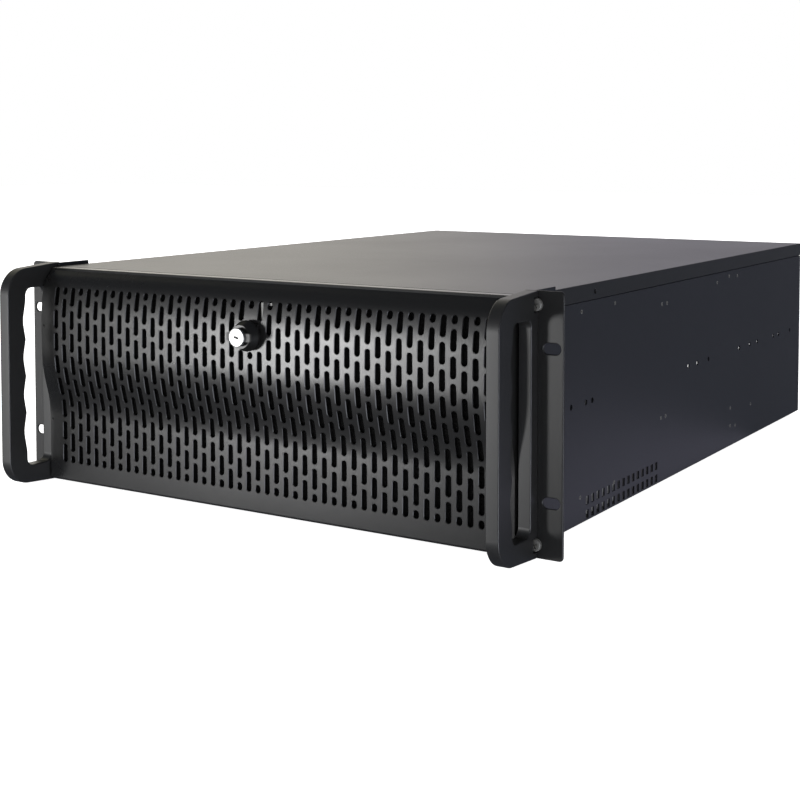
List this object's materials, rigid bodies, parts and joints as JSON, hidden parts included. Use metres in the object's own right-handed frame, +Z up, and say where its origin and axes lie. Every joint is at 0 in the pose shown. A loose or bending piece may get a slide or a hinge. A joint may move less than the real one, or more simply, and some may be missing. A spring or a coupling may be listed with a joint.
{
  "type": "rackmount server case",
  "caption": "Empty rackmount server case with a wave-shaped perforated hinged front door, key lock, closed ring handles, rack ears and a top cover that slides off rearward.",
  "frame": {"origin": "centre of the four rack slots, in the plane of the ears' front faces", "axes": "+X to the right seen from the front, +Y to the rear of the case, +Z up"},
  "size_m": [0.4826, 0.664, 0.177],
  "materials": {
    "coat": "black satin powder coat",
    "handle_coat": "black satin powder coat on a casting",
    "zinc": "zinc-plated sheet steel",
    "steel": "plain steel",
    "dark_metal": "black satin",
    "lock_metal": "nickel-plated, satin",
    "foam": "open-cell filter foam",
    "plastic": "matt moulded plastic",
    "lens": "clear light pipe",
    "brass": "turned brass"
  },
  "bodies": {
    "chassis": {"chassis_tray": "coat", "left_ear": "coat", "right_ear": "coat", "left_ear_angle": "coat", "right_ear_angle": "coat", "left_handle": "handle_coat", "right_handle": "handle_coat", "left_hinge_lug": "steel", "right_hinge_lug": "steel", "front_panel": "coat", "bay_cover_1": "coat", "bay_cover_2": "coat", "bay_cover_3": "coat", "slim_bay_cover": "coat", "drive_cage": "zinc", "fan_bracket": "zinc", "lamp_lenses": "lens", "front_ports": "steel", "control_bracket": "zinc", "rear_panel": "coat", "cross_brace": "zinc", "board_standoffs": "brass", "psu_rail": "zinc", "card_cover_1": "zinc", "card_cover_2": "zinc", "card_cover_3": "zinc", "card_cover_4": "zinc", "card_cover_5": "zinc", "card_cover_6": "zinc", "card_cover_7": "zinc"},
    "cover": {"top_cover": "coat", "cover_thumbscrews": "steel"},
    "door": {"front_door": "coat", "dust_filter": "foam", "filter_frame": "plastic", "lock_body": "dark_metal", "lock_clip": "steel"},
    "lock": {"lock_plug": "lock_metal", "lock_cam": "steel", "cam_bolt": "steel"},
    "power_switch": {"power_button": "plastic"},
    "reset_switch": {"reset_button": "plastic"}
  },
  "joints": [
    {"name": "door_hinge", "type": "hinge", "parent": "chassis", "child": "door", "pos_m": [0, -0.004, -0.0815], "axis": [1, 0, 0], "range_deg": [0, 78]},
    {"name": "lock_turn", "type": "hinge", "parent": "door", "child": "lock", "pos_m": [0, -0.018, 0.0458], "axis": [0, -1, 0], "range_deg": [0, 90]},
    {"name": "cover_slide", "type": "slide", "parent": "chassis", "child": "cover", "axis": [0, 1, 0], "range_m": [0, 0.61]},
    {"name": "power_press", "type": "slide", "parent": "chassis", "child": "power_switch", "axis": [0, 1, 0], "range_m": [0, 0.002], "stiffness_N_per_m": 400},
    {"name": "reset_press", "type": "slide", "parent": "chassis", "child": "reset_switch", "axis": [0, 1, 0], "range_m": [0, 0.002], "stiffness_N_per_m": 400}
  ]
}
